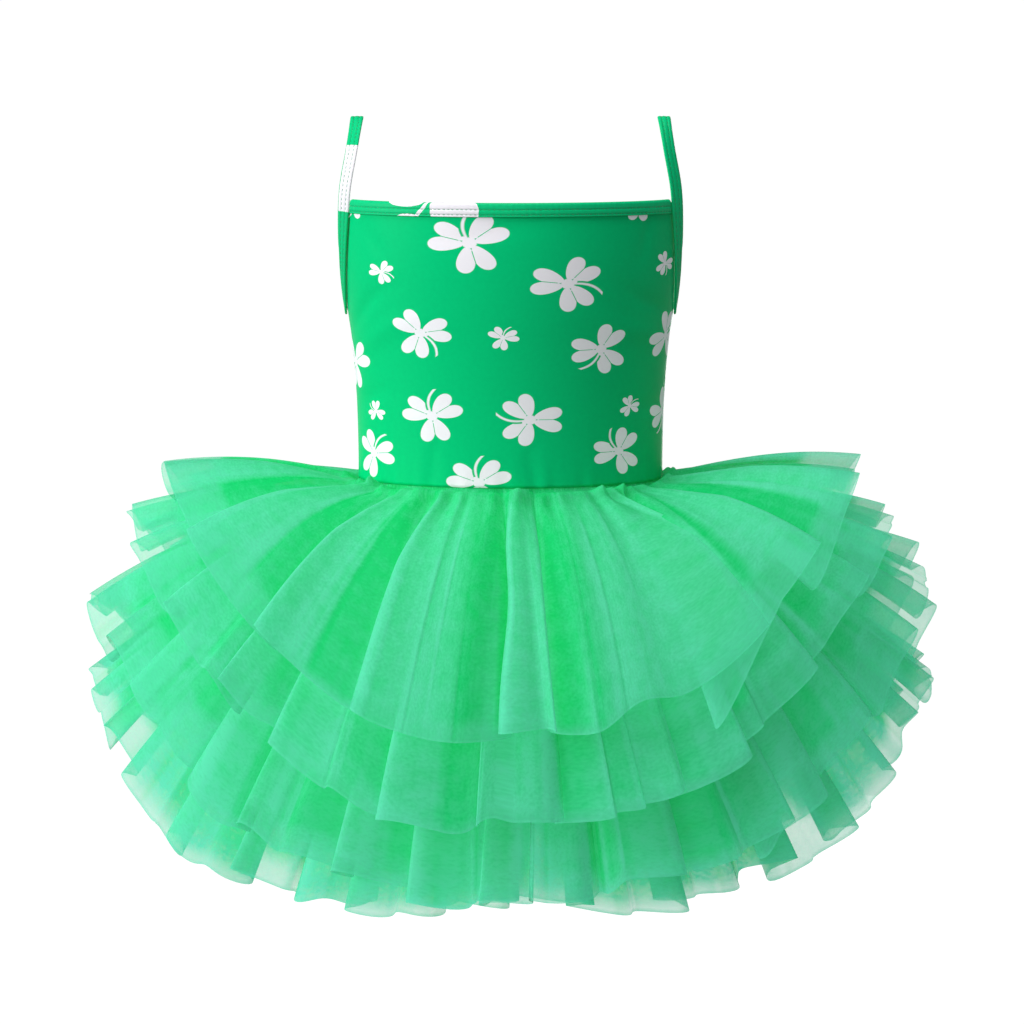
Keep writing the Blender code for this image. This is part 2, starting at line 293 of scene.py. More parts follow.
def cloth_across(azimuth):
    """Distance round the figure in mm, from azimuth 0, along its section at the ribs."""
    half_width, half_depth = 0.0955, 0.0668
    grid = np.radians(np.linspace(-180, 180, 3601))
    steps = np.hypot(half_width * np.cos(grid), half_depth * np.sin(grid)) * (grid[1] - grid[0])
    return (np.interp(np.radians(azimuth), grid, np.cumsum(steps)) - steps.sum() / 2) * 1000


print(len(CREASES), "creases placed by hand on the bodice")

# %% Lay the front and back panels
KNIT = 0.0008


def make_panel(name, azimuths, heights, middle):
    azimuths, heights = np.broadcast_arrays(azimuths, heights)
    points = figure_points(azimuths, heights, crease_height(azimuths, heights))
    flat = np.stack([cloth_across(azimuths - middle), heights * 1000], axis=-1)
    return give_wall(make_cloth(name, points, flat), KNIT)


columns, below, beside = 160, 60, 50
low = np.linspace(0.0, UNDERARM_RISE, below, endpoint=False)
high = between(UNDERARM_RISE, NECK_RISE, np.linspace(0, 1, beside) ** 2)
heights = np.concatenate([low, high])[:, None]
corner = FRONT_CORNER + PANEL_LAP
reach = armhole_reach(heights, UNDERARM_RISE, NECK_RISE)
edge = SIDE_SEAM - SEAM_DEGREES - (SIDE_SEAM - SEAM_DEGREES - corner) * reach
azimuths = edge * np.linspace(-1, 1, columns + 1)[None, :]
bodice_front = make_panel("bodice_front_knit", azimuths, heights, 0)

seam, corner = SIDE_SEAM + SEAM_DEGREES, BACK_CORNER - PANEL_LAP
side = np.linspace(seam, corner, 24, endpoint=False)
back = np.linspace(corner, 360 - corner, 140, endpoint=False)
other_side = np.linspace(360 - corner, 360 - seam, 25)
azimuths = np.concatenate([side, back, other_side])[None, :]
heights = back_top(azimuths) * np.linspace(0, 1, 90)[:, None]
bodice_back = make_panel("bodice_back_knit", azimuths, heights, 180)
print("bodice panels:", len(bodice_front.data.polygons), len(bodice_back.data.polygons), "faces")

# %% [markdown]
# ## Neck bindings
#
# A strip of the same knit is folded over the raw neck edge and sewn down with a twin needle.
# The needle pulls two shallow channels into the strip, 3 mm apart, and the cloth between them
# stands a little proud. The strip's section is therefore drawn as a line of points: up the
# outside, over the edge in a round turn, and down the inside. It is then run along the neckline.

# %% Fold the neck bindings over the panels' edges
BINDING_HEIGHT = 0.0080
BINDING_INSET = 0.9
BINDING_WALL = 0.0005
INNER_LEG = 0.0026  # how far inside the figure's surface the strip's inner half lies
TURN_RISE = 0.0002  # above the panel's edge, where the round turn starts
CHANNEL_RISES = (-0.0022, -0.0052)  # the two needle rows, below the panel's edge
CHANNEL_DEPTH = 0.00034
FACE_OUT, FACE_BULGE = 0.00115, 0.00022  # of the strip's outer half, and more between the rows
STRIP_ROUND = 0.0016  # height of the round turn over the edge


def binding_section():
    """The strip's outer line as (outward, rise) pairs, from its outer hem to its inner hem."""
    leg = BINDING_HEIGHT - 0.0015
    rises = np.linspace(-leg, TURN_RISE, 26)
    bulge = FACE_OUT + FACE_BULGE * np.cos((rises + 0.0037) / 0.0037 * math.pi / 2)
    for channel in CHANNEL_RISES:
        bulge -= CHANNEL_DEPTH * bump(rises, channel, 0.00045)
    bulge[0] -= 0.0004
    turn = np.linspace(0, math.pi, 9)[1:-1]
    middle, radius = (bulge[-1] - INNER_LEG) / 2, (bulge[-1] + INNER_LEG) / 2
    over = (middle + radius * np.cos(turn), TURN_RISE + STRIP_ROUND * np.sin(turn))
    inside = (np.full(8, -INNER_LEG), np.linspace(TURN_RISE, -leg, 8))
    return np.concatenate([np.stack(part, axis=-1) for part in ((bulge, rises), over, inside)])


def make_binding(name, middle, half, top_edge):
    section = binding_section()
    azimuths = np.linspace(middle - half, middle + half, 200)[None, :]
    ripple = 0.00010 * np.sin(azimuths * 2.9) + 0.00008 * np.sin(azimuths * 5.3 + 1)
    outward = section[:, :1] + ripple * (section[:, :1] > 0)
    points = figure_points(azimuths, top_edge(azimuths) + section[:, 1:], outward)
    flat = flat_places(points, float(cloth_across(-half)))
    return give_wall(make_cloth(name, points, flat), BINDING_WALL)


FRONT_NECK = (0, FRONT_CORNER - BINDING_INSET)  # middle and half of each neckline, in degrees
BACK_NECK = (180, 180.0 - BACK_CORNER - BINDING_INSET)
binding_front = make_binding("neck_binding_front_knit", *FRONT_NECK, front_top)
binding_back = make_binding("neck_binding_back_knit", *BACK_NECK, back_top)
print("neck bindings:", len(binding_front.data.polygons), "faces each")

# %% [markdown]
# ## Straps that bind the armholes
#
# Each strap is one long folded strip. It binds the armhole, leaves the front neck corner, turns
# over the shoulder and comes back down to the back neckline. Its path is worked out once round
# the armhole from the same sections as the bodice, with its own direction across at each step.
# Along the front it turns to face forwards a little, as a strap under tension does.

# %% Path of a strap band, once round the armhole
STRAP_WIDTH = 0.0078
STRAP_WALL = 0.0004
UNDERARM_WIDTH = 0.0052
BAND_LAP = 0.0025
BAND = 0.0016
BAND_TURN = 0.48
GAP = 0.0003
CHANNEL_SHARES = (0.31, 0.69)  # the two needle rows, as shares of the width
STRAP_FACE, STRAP_BACK = 0.00074, -0.00062  # of the cloth, from the middle of the band
CHEST_HALF_WIDTH, CHEST_HALF_DEPTH = 0.100, 0.068
OVER, DOWN, ROUND = 56, 12, 36  # steps over the shoulder, down the back, to and from the underarm


def shoulder_points(azimuth, turn):
    a, t = np.radians(azimuth), np.radians(turn)
    height = between(NECK_RISE, CREST_RISE, np.sin(t))
    depth = figure_size(NECK_RISE, 2) * np.abs(np.cos(a)) * np.cos(t)
    return np.stack([figure_size(height, 1) * np.sin(a), -depth, height - CREST_RISE], axis=-1)


def band_path():
    """Inner edge points, directions across, outward normals and widths of the band."""
    bottom, back_rise = UNDERARM_RISE - BAND_LAP, BACK_CORNER_RISE + 0.010
    turn = np.linspace(0, 180, OVER, endpoint=False)
    azimuth = between(FRONT_CORNER, 180 - BACK_CORNER, (1 - np.cos(np.radians(turn))) / 2)
    over = shoulder_points(azimuth, turn)
    over_across = shoulder_points(azimuth + 0.01, turn) - over
    down = figure_points(BACK_CORNER, np.linspace(NECK_RISE, back_rise, DOWN, endpoint=False))
    lines = [over, down]
    turns, widths = ([np.full(OVER + DOWN, value)] for value in (BAND_TURN, STRAP_WIDTH))
    for corner, top, first in ((BACK_CORNER, back_rise, 1), (FRONT_CORNER, NECK_RISE, 0)):
        share = np.linspace(first, 1 - first, ROUND, endpoint=False) ** 2
        height = between(bottom, top, share)
        azimuth = between(SIDE_SEAM, corner, armhole_reach(height, bottom, top))
        lines.append(figure_points(azimuth, height))
        turns.append(BAND_TURN * share)
        widths.append(between(UNDERARM_WIDTH, STRAP_WIDTH, share))
    line, turn, width = np.concatenate(lines), np.concatenate(turns), np.concatenate(widths)
    forward = unit(np.roll(line, -1, axis=0) - np.roll(line, 1, axis=0))
    level_normal = line * (1 / CHEST_HALF_WIDTH**2, 1 / CHEST_HALF_DEPTH**2, 0)
    across = np.cross(forward, level_normal)
    across[:OVER] = over_across
    across = unit(across)
    across = between(across, np.array([1.0, 0, 0]), turn[:, None])
    across = unit(across - forward * (across * forward).sum(axis=1, keepdims=True))
    for _ in range(3):
        across = (np.roll(across, 1, axis=0) + 2 * across + np.roll(across, -1, axis=0)) / 4
    normal = unit(np.cross(across, forward))
    return line + normal * (2 * GAP + BAND / 2), across, normal, width[:, None]


def even_steps(path, count):
    """The same closed path with its points at even distances, and its length."""
    closed = [np.concatenate([part, part[:1]]) for part in path]
    places = running_total(step_lengths(closed[0]))
    wanted = np.linspace(0, places[-1], count, endpoint=False)
    return [read_off(wanted, places, part) for part in closed], places[-1]


band, band_length = even_steps(band_path(), 200)
print(f"one strap band is {band_length * 1000:.0f} mm long")


# %% Sweep the folded strip along the path
def strap_section():
    """The strip's outer line as (share across, outward) pairs. Its cut edges meet at the back."""
    share = np.linspace(0.03, 0.97, 27)
    top = STRAP_FACE - 0.0005 * np.abs(2 * share - 1) ** 6
    for channel in CHANNEL_SHARES:
        top -= CHANNEL_DEPTH * bump(share, channel, 0.055)
    under = np.linspace(0.96, 0.51, 6)
    first, last = ([(at, STRAP_BACK) for at in places] for places in (1 - under[::-1], under))
    front = np.stack([share, top], axis=-1)
    return np.concatenate([first, [[0.0, -0.0001]], front, [[1.0, -0.0001]], last])


def make_strap(name, side):
    inner, across, normal, width = (part[None] for part in band)
    section = strap_section()
    points = inner + across * width * section[:, None, :1] + normal * section[:, None, 1:]
    points = points * np.array([side, 1.0, 1.0])
    along = np.linspace(0, band_length * 1000, points.shape[1] + 1)
    flat = np.stack(np.meshgrid(along, section[:, 0] * STRAP_WIDTH * 1000), axis=-1)
    return give_wall(make_cloth(name, points, flat, ring=True, flip=side > 0), STRAP_WALL)


strap_left = make_strap("strap_left_knit", 1)
strap_right = make_strap("strap_right_knit", -1)
print("strap bands:", len(strap_left.data.polygons), "faces each")

# %% [markdown]
# ## The tulle skirt
#
# Tulle is a fine, stiff net. Each layer is a long strip, gathered to about a third of its
# length into the waist seam. Near the seam the gathers are many and fine. Further out they
# open and join into a few broad flutes, with sharp folds between them where the net turns back
# under itself. The four layers get longer downwards, so each one's hem shows below the last.
#
# The broad flutes are those of the solids. The smaller folds are drawn over them in three
# sizes, each strongest at its own distance from the seam.

# %% Sizes of the four layers
Layer = namedtuple(
    "Layer",
    "heading half_width half_depth side_drop front_drop side_rise front_rise bend depth",
)
LAYERS = (
    Layer(0.0030, 0.205, 0.172, -0.008, 0.127, 0.010, 0.034, 2.5, 0.024),
    Layer(0.0110, 0.229, 0.172, 0.013, 0.169, 0.016, 0.034, 2.5, 0.018),
    Layer(0.0190, 0.247, 0.163, 0.042, 0.204, 0.022, 0.034, 3.1, 0.016),
    Layer(0.0270, 0.246, 0.149, 0.106, 0.205, 0.026, 0.030, 4.0, 0.013),
)
FIRST_FOLD = -82.5
TOP_FOLDS = (  # each fold's width in degrees, and by what share it is longer
    (20, -0.02), (19, 0.01), (17, 0.00), (25, 0.02), (9.5, 0.02), (32, 0.02), (17, -0.02),
    (18, 0.01), (20, -0.02), (20, 0.02), (18, -0.01), (18, 0.02), (19, 0.00), (19, 0.03),
    (18, -0.01), (20, 0.02), (24, -0.02), (26.5, 0.01),
)
Gather = namedtuple("Gather", "count first uneven rhythm")
GATHERS = (
    Gather(26, -75.0, 0.30, 2.4),
    Gather(30, -84.0, 0.26, 3.7),
    Gather(36, -79.0, 0.28, 4.4),
)
UNEVEN_HEM = 0.02
CREST_SHARE = 0.45
SCALLOPS = (0.05, 0.04, 0.022, 0.014)
LEAN = 3.0
TULLE_SPACE = 0.0013  # from one layer's heading to the next


def broad_folds(index):
    """Azimuths of a layer's valleys, and how much longer each fold between them is."""
    if index == 0:
        widths, longer = np.array(TOP_FOLDS, float).T
        return FIRST_FOLD + running_total(widths), longer
    gather = GATHERS[index - 1]
    turns = np.arange(gather.count)
    shares = 1 + gather.uneven * np.sin(gather.rhythm * turns)
    widths = 360.0 * shares / shares.sum()
    return gather.first + running_total(widths), UNEVEN_HEM * np.sin(1.9 * turns + index)


def layer_points(index, azimuth, run):
    """A layer's own surface, before its folds. Run is 0 at the heading and 1 at the hem."""
    layer = LAYERS[index]
    a = np.radians(azimuth)
    start = figure_points(azimuth, 0.0, -(0.0005 + index * TULLE_SPACE))
    start[..., 2] -= layer.heading
    sideways = np.abs(np.sin(a)) ** layer.bend
    drop = between(layer.front_drop, layer.side_drop, sideways)
    rise = between(layer.front_rise, layer.side_rise, sideways)
    hem = (layer.half_width * np.sin(a), -layer.half_depth * np.cos(a), start[..., 2] - drop)
    points = between(start, np.stack(hem, axis=-1), run[..., None])
    points[..., 2] += 2 * run * (1 - run) * rise
    return points


def figure_outward(azimuth):
    """Unit directions straight out from the figure at the waist seam."""
    return unit(figure_points(azimuth, 0.0, 0.001) - figure_points(azimuth, 0.0, 0.0))


def fold_places(index, turn):
    """For azimuths in degrees: the fold each is in, how far across it, and the fold's width."""
    edges, longer = broad_folds(index)
    around = (turn - edges[0]) % 360 + edges[0]
    fold = np.clip(np.searchsorted(edges, around, side="right") - 1, 0, len(longer) - 1)
    width = edges[fold + 1] - edges[fold]
    return fold, (around - edges[fold]) / width, width, around


def broad_surface(index, turn, moved, run):
    """Points of a layer with its broad flutes, moved round by some degrees, and its normals."""
    longer = broad_folds(index)[1]
    fold, across, width, around = fold_places(index, turn)
    azimuth = around + LEAN * run * np.sin(np.pi * across) * np.sin(2.1 * fold + index) + moved
    height = 1 - np.abs(2 * across - 1) ** 4
    reach = run * (1 + SCALLOPS[index] * (height - 0.5) + longer[fold] * height)
    points = layer_points(index, azimuth, reach)
    round_it = layer_points(index, azimuth + 0.01, reach) - points
    down_it = layer_points(index, azimuth, reach + 0.001) - points
    normals = unit(np.cross(round_it, down_it))
    normals *= np.where(normals[..., 2:] < 0, -1.0, 1.0)
    a = np.radians(azimuth)
    layer = LAYERS[index]
    narrow = np.hypot(np.cos(a), layer.half_depth / layer.half_width * np.sin(a))
    even_width = 360.0 / len(longer)
    depth = layer.depth * np.minimum(0.7 + 0.3 * width / even_width, 1.0) * narrow * run
    return points + normals * (depth * (height - 1 + CREST_SHARE))[..., None], normals


print("folds in each layer:", [len(broad_folds(index)[1]) for index in range(4)])

# %% [markdown]
# ## Folds within the flutes
#
# Between two flutes the net doubles back: it passes over its neighbour, turns back under itself
# and goes on. So points near a valley move round the skirt as well as out from it. The move is
# an odd bump about the valley, forwards on one side and backwards on the other, and where it is
# steep the cloth passes over itself. The edge on top stands out, and the edge below lies in.
# The net nearer the front or the back centre lies on top, as in the photograph. Small folds
# and sharp creases run down the flutes. At the seam there are fine gathers, some strong and
# some hardly there, and the top layer puffs up over it.

# %% Tables of the folds
Turned = namedtuple("Turned", "overlap apart step small_count small_depth creases shift")
TURNED = (
    Turned(0.42, 0.0060, 0.012, 40, 0.0008, 62, 0.4),
    Turned(0.46, 0.0040, 0.016, 58, 0.0010, 80, 2.1),
    Turned(0.46, 0.0034, 0.014, 62, 0.0009, 88, 4.0),
    Turned(0.44, 0.0030, 0.012, 70, 0.0008, 96, 5.2),
)
# The top layer's own folds in front, by valley: how far each doubles back, and how much the
# net turned under hangs below the hem beside it
TOP_TURNS = {3: (0.50, 0.02), 4: (0.60, 0.00), 5: (0.34, 0.00), 6: (1.05, 0.16), 7: (0.60, 0.06)}
# Small changes about an azimuth: how far the net moves round there, at what run and over
# what length of it, by what share it is shorter, and by how many metres its hem lies higher
Nudge = namedtuple(
    "Nudge",
    "layer azimuth width degrees at_run long shorter lift",
    defaults=(0.0, 1.0, 0.9, 0.0, 0.0),
)
NUDGES = (
    Nudge(1, 6.5, 3.0, degrees=-3.2),
    Nudge(1, 0.2, 1.8, degrees=2.2, at_run=0.55, long=0.25),
    Nudge(1, -24.0, 6.0, degrees=3.4),
    Nudge(1, 3.4, 5.0, shorter=0.045),
    Nudge(1, 24.0, 7.0, shorter=0.060),
    Nudge(3, 101.0, 10.0, lift=0.030),
    Nudge(4, -60.0, 20.0, shorter=-0.045),
    Nudge(4, -36.0, 12.0, shorter=-0.015),
    Nudge(4, 60.0, 20.0, shorter=-0.030),
)
Rim = namedtuple("Rim", "side front fade extra deep")  # width of the single net in metres
RIMS = (
    Rim(0.034, 0.004, 0.006, 1.4, 0.12),
    Rim(0.038, 0.004, 0.006, 3.0, 0.24),
    Rim(0.042, 0.005, 0.008, 4.5, 0.26),
    Rim(0.024, 0.008, 0.016, 5.0, 0.20),
)
# Where the lowest layer parts and stays a single net further up: azimuth, width and height
BARES = ((2.0, 2.4, 0.055), (-9.4, 1.7, 0.034), (-21.8, 2.4, 0.040), (43.6, 2.0, 0.024))
# How the dressed net hangs at the sides, against its solid: shorter by a share, lower by metres
SIDE_HANG = ((0.0, 0.005), (0.035, 0.003), (0.0, 0.013), (0.0, -0.020))
CUT_WIDTHS = (1.60, 1.80, 1.85, 1.80)  # metres of net gathered into each layer
NET_COVER = 0.55  # share of the view that one flat layer of this net hides
GATHER_COUNT, GATHER_DEPTH = 50, 0.0026  # close to the seam, about one every 10 mm
CREASE_DEPTH = 0.0007
PUFF_COUNT, PUFF_OUT, PUFF_UP = 27, 0.0050, 0.0058
print(len(NUDGES), "changes by hand, and", len(BARES), "places where the lowest layer parts")

# %% The grid of a layer: rows from the seam to the hem, and columns round the skirt
TULLE_COLUMNS, TULLE_ROWS = 1200, 34
RUN = np.sort(np.append(np.linspace(0, 1, TULLE_ROWS) ** 1.15, 0.992))[:, None]
TURN = np.linspace(-180, 180, TULLE_COLUMNS, endpoint=False)[None, :]
ANGLE = np.radians(TURN)
OPENED = np.clip((RUN - 0.04) * 2.3, 0, 1)  # how far the folds have opened out from the seam
AT_SIDE = np.abs(np.sin(ANGLE)) ** 4  # how near to a side of the skirt
print("points in the grid:", RUN.size * TURN.size)


# %% Waves round the skirt, and the places where the net doubles back
def uneven_waves(count, shift):
    """Waves of uneven width on the way round, in radians of phase."""
    phase = count * ANGLE
    for waves, size in ((3, 2.4), (5, 1.8), (8, 1.3), (13, 0.7)):
        phase = phase + size * np.sin(waves * ANGLE + shift * waves)
    return phase


def double_backs(index):
    """Around each azimuth: the place from the nearest valley in spans, and that valley's values."""
    edges, longer = broad_folds(index)
    fold, across, width, _ = fold_places(index, TURN)
    count, shift = len(longer), TURNED[index].shift
    valley = (fold + (across > 0.5)) % count
    widths = np.diff(edges)
    span = 0.62 * np.minimum(widths[valley], widths[valley - 1])
    droop = np.clip(0.03 * np.sin(2.9 * valley + shift), 0, 1) * (index > 0)
    overlap = TURNED[index].overlap * (1 + 0.30 * np.sin(1.7 * valley + shift))
    if index == 0:
        for place, (own, hang) in TOP_TURNS.items():
            overlap = np.where(valley == place, own, overlap)
            droop = np.where(valley == place, hang, droop)
    offset = np.where(across > 0.5, across - 1, across) * width
    middle = np.radians(edges[valley])
    way = np.where(np.sin(middle) * np.cos(middle) < 0, -1.0, 1.0)
    return offset / span, span, overlap, droop, way


def odd_bump(beside):
    """Forwards on one side of a valley, backwards on the other, and nothing one span away."""
    place = np.clip(beside, -1, 1)
    return -np.sin(np.pi * place) * (1 + np.cos(np.pi * place)) / 1.3


print("valleys of the top layer that are set by hand:", len(TOP_TURNS))


# %% Small folds, gathers and creases
def small_folds(index):
    return np.sin(uneven_waves(TURNED[index].small_count, TURNED[index].shift))


def uneven_gathers(index):
    """By what share the gathers and puffs are strong or weak."""
    return 0.55 + 0.45 * np.sin(11 * ANGLE + TURNED[index].shift)


def sharp_creases(index):
    """Small creases in the flutes, as their own slope from 0 to 1, and how firm they are.
    Each rises slowly, drops sharply and fades along its length."""
    turned = TURNED[index]
    crease = uneven_waves(turned.creases, turned.shift + 2.2) / (2 * np.pi)
    number = np.floor(crease)
    ramp = np.minimum((crease - number) / 0.86, (1 - crease + number) / 0.14)
    firm = np.clip(0.45 + 0.85 * np.sin(1.9 * number + 2.6 * RUN + turned.shift), 0, 1)
    return ramp, firm * OPENED


print("small creases round each layer:", [turned.creases for turned in TURNED])


# %% How far the net moves round, and where its hem lies
def own_nudges(index):
    """A layer's listed changes, each with how strong it is at each azimuth."""
    for nudge in NUDGES:
        if nudge.layer == index + 1:
            yield nudge, bump(TURN, nudge.azimuth, nudge.width)


def moves_round(index):
    """How many degrees each point moves round the skirt, and its run with the uneven hem."""
    turned = TURNED[index]
    beside, span, overlap, droop, way = double_backs(index)
    odd, small = odd_bump(beside), small_folds(index) * (index > 0)
    moved = overlap * span * odd * OPENED
    wander = np.degrees(
        0.014 * np.sin(7 * ANGLE + turned.shift) * RUN
        + 0.008 * np.sin(17 * ANGLE + 2 * turned.shift) * RUN * (1 - RUN)
    )
    pleat = np.degrees(0.9 / turned.small_count) * small * OPENED
    drooping = droop * bump(np.clip(beside, -1, 1), 0.33 * way, 0.30)
    longer = turned.step * (1 - 0.6 * AT_SIDE) * odd * way + drooping
    longer = longer - 0.35 * turned.step * small * way - SIDE_HANG[index][0] * AT_SIDE
    for nudge, near in own_nudges(index):
        moved = moved + nudge.degrees * near * bump(RUN, nudge.at_run, nudge.long) * OPENED
        longer = longer - nudge.shorter * near
    return moved + wander - pleat * way, RUN * (1 + longer * RUN**2)


def hem_lift(index):
    """By how many metres the hem lies higher than the solid's."""
    lift = 0.0 - SIDE_HANG[index][1] * AT_SIDE
    for nudge, near in own_nudges(index):
        lift = lift + nudge.lift * near
    return lift


print("hems raised by up to, in mm:", [round(hem_lift(index).max() * 1000) for index in range(4)])


# %% How far the net stands out from its broad flutes
def stand_out(index):
    turned = TURNED[index]
    beside, _, _, _, way = double_backs(index)
    stand = turned.apart * odd_bump(beside) * way * (0.12 + 0.88 * RUN)
    uneven_depth = 0.6 + 0.4 * np.sin(6 * ANGLE + turned.shift)
    stand = stand - turned.small_depth * small_folds(index) * OPENED * uneven_depth
    gather_wave = np.sin(uneven_waves(GATHER_COUNT, turned.shift + 1.3))
    ease = np.clip(RUN / 0.07, 0, 1) * np.exp(-np.clip(RUN - 0.07, 0, 1) / 0.30)
    stand = stand + GATHER_DEPTH * gather_wave * ease * uneven_gathers(index)
    ramp, firm = sharp_creases(index)
    return stand + CREASE_DEPTH * (ramp - 0.5) * firm


def puffs(index):
    """How much a layer puffs up over the seam, more in some gathers than in others."""
    puff_wave = 0.5 + 0.5 * np.sin(uneven_waves(PUFF_COUNT, TURNED[index].shift + 0.5))
    return bump(RUN, 0.040, 0.034) * (0.30 + 0.70 * puff_wave * uneven_gathers(index))


def tulle_points(index):
    """All points of a layer: its edge at the seam, and then its rows down to the hem."""
    moved, reach = moves_round(index)
    points, normals = broad_surface(index, TURN, moved, reach)
    points = points + normals * stand_out(index)[..., None]
    points[..., 2] += hem_lift(index) * RUN**2
    if index == 0:
        puff = puffs(index)
        points += PUFF_OUT * puff[..., None] * figure_outward(TURN)
        points[..., 2] += PUFF_UP * puff
    heading = points[:1].copy()
    heading[..., 2] = -CREST_RISE - GAP
    return np.concatenate([heading, points])


print(f"the top layer stands out by up to {stand_out(0).max() * 1000:.1f} mm")

# %% [markdown]
# ## Crowded net and single rims
#
# The same folds say how much net lies in each place. Net that is gathered close or folded hides
# more, and only the outer rim is a single net. Several thicknesses are also deeper in colour.
# The colour also holds painted shade: it is deeper near the seam, in the net just beneath each
# fold and on the low slope of each small crease. It is lighter along the crease lines and the
# fold edges, a painted highlight, and a little lighter at the hem. Both are kept on the points,
# from 0 to 1, as the cover value and the colour value for the material.


# %% How much the net hides, and how deep its colour is, with painted shade and highlight
def single_width(index):
    """How far up from the hem the net is single, in metres."""
    rim, fold = RIMS[index], fold_places(index, TURN)[0]
    single = between(rim.front, rim.side, AT_SIDE)
    single = single * (1 + 0.7 * np.sin(2.3 * fold + TURNED[index].shift) * (1 - 0.6 * AT_SIDE))
    for azimuth, width, taller in BARES:
        single = single + taller * bump(TURN, azimuth, width) * (index == 3)
    return single


def net_values(index, length):
    """Both values at each point of a layer, which is so long on average."""
    rim = RIMS[index]
    beside, _, overlap, _, way = double_backs(index)
    ramp, firm = sharp_creases(index)
    inner = np.clip(((1 - RUN) * length - single_width(index)) / rim.fade + 0.5, 0, 1)
    edge = bump(np.abs(np.clip(beside, -1, 1)), 0.33, 0.07) * OPENED * overlap / 0.5
    line = bump(ramp, 1, 0.16) * firm
    hem = RUN > 0.999
    thick = 1 + rim.extra * inner + 1.2 * np.exp(-RUN / 0.20) + 0.6 * edge + 0.9 * hem
    thick = thick + 0.5 * line + 0.5 * (0.5 - ramp) * firm
    past = beside * way  # over 0 on the side that lies below
    # Painted shade: the colour deepens near the seam, under each fold and on the low slope of each
    # crease. Crease lines and fold edges get a painted highlight. Crowded net beyond the rim is
    # deeper in its own right.
    under = bump(np.clip(past - 0.7, 0, None), 0, 0.9) * (past > -0.2) * np.clip(RUN * 3, 0.3, 1)
    deep = rim.deep * inner + 0.60 * np.exp(-RUN / 0.28) + (0.36 if index else 0.65) * under * inner
    deep = deep + 0.40 * (0.60 - ramp) * firm - 0.50 * line
    deep = np.clip(deep - 0.75 * edge - 0.25 * hem, 0, 1)
    return {"cover": 1 - (1 - NET_COVER) ** thick, "deep": deep}


print("widest single rims in mm:", [round(single_width(index).max() * 1000) for index in range(4)])


# %% Lay the tulle
def make_tulle(index):
    points = tulle_points(index)
    length = step_lengths(points).sum(axis=0)
    u = np.linspace(0, CUT_WIDTHS[index] * 1000, TULLE_COLUMNS + 1)
    v = np.concatenate([[0], LAYERS[index].heading + RUN[:, 0] * length.mean()]) * 1000
    flat = np.stack(np.meshgrid(u, v), axis=-1)
    name = f"tulle_layer_{index + 1}_net"
    piece = make_cloth(name, points, flat, ring=True, flip=True)
    for label, values in net_values(index, length.mean()).items():
        values = np.concatenate([values[:1], values])
        attribute = piece.data.attributes.new(label, "FLOAT", "POINT")
        attribute.data.foreach_set("value", values.reshape(-1).astype(np.float32))
    print(
        f"{name}: hem {step_lengths(points[-1]).sum() * 1000:.0f} mm round, "
        f"{length.min() * 1000:.0f} to {length.max() * 1000:.0f} mm long, "
        f"{len(piece.data.polygons)} faces"
    )
    return piece, float(length.max()), float(length.mean())


tulle = [make_tulle(index) for index in range(4)]

# %% [markdown]
# ## Topstitching
#
# A twin needle leaves two rows of short straight stitches, about 2.7 mm from one to the next.
# Each stitch is a bit of thread that dips into the cloth at both ends. One is modelled from a
# small ball, drawn out and bent, and then copied along each row. There are about a thousand, so
# one has only a few dozen faces.

# %% Model one stitch
STITCH_LENGTH, STITCH_PITCH, THREAD = 0.0021, 0.0027, 0.00034
WAVER = 0.00012  # of the places of hand-fed stitches
END_GAP = 0.3  # degrees of a binding left unsewn at each end
STITCH_DIP = 0.00022  # how far the ends of a stitch go down into the cloth
ON_BINDING, ON_STRAP = 0.00108, 0.00048  # thread, out from the figure or the band's middle
bpy.ops.mesh.primitive_uv_sphere_add(segments=6, ring_count=6, radius=0.5)
stitch = bpy.context.object
bpy.ops.object.mode_set(mode="EDIT")
bpy.ops.mesh.select_all(action="SELECT")
bpy.ops.transform.rotate(
    value=math.radians(90), orient_axis="Y", center_override=(0.0, 0.0, 0.0)
)
bpy.ops.transform.resize(value=(STITCH_LENGTH, THREAD, THREAD))
bpy.ops.object.mode_set(mode="OBJECT")
stitch_points = np.array([vertex.co[:] for vertex in stitch.data.vertices])
stitch_points[:, 0] *= 1 - 0.15 * (2 * stitch_points[:, 0] / STITCH_LENGTH) ** 2
stitch_points[:, 2] -= STITCH_DIP * (2 * stitch_points[:, 0] / STITCH_LENGTH) ** 4
# A new ball lists its faces in another order each time, so they are sorted.
stitch_faces = sorted(tuple(polygon.vertices) for polygon in stitch.data.polygons)
bpy.data.objects.remove(stitch, do_unlink=True)
print("one stitch has", len(stitch_faces), "faces")


# %% Sew the rows
def sew(name, rows):
    """One mesh of stitches. Each row is (places, outward normals), sewn from its start."""
    points, faces = [], []
    for line, normals in rows:
        places = running_total(step_lengths(line))
        count = int(places[-1] / STITCH_PITCH)
        wanted = (np.arange(count) + 0.5) * places[-1] / count
        wanted = wanted + WAVER * np.sin(np.arange(count) * 2.3)
        at, up = read_off(wanted, places, line), read_off(wanted, places, normals)
        before, after = (read_off(wanted + step, places, line) for step in (-0.001, 0.001))
        along = unit(after - before)
        up = unit(up - along * (along * up).sum(axis=1, keepdims=True))
        beside = np.cross(up, along)
        for k in range(count):
            first = len(points)
            turned = stitch_points @ np.stack([along[k], beside[k], up[k]])
            points.extend((turned + at[k]).tolist())
            faces.extend(tuple(first + i for i in face) for face in stitch_faces)
    return smooth_object(name, points, faces)


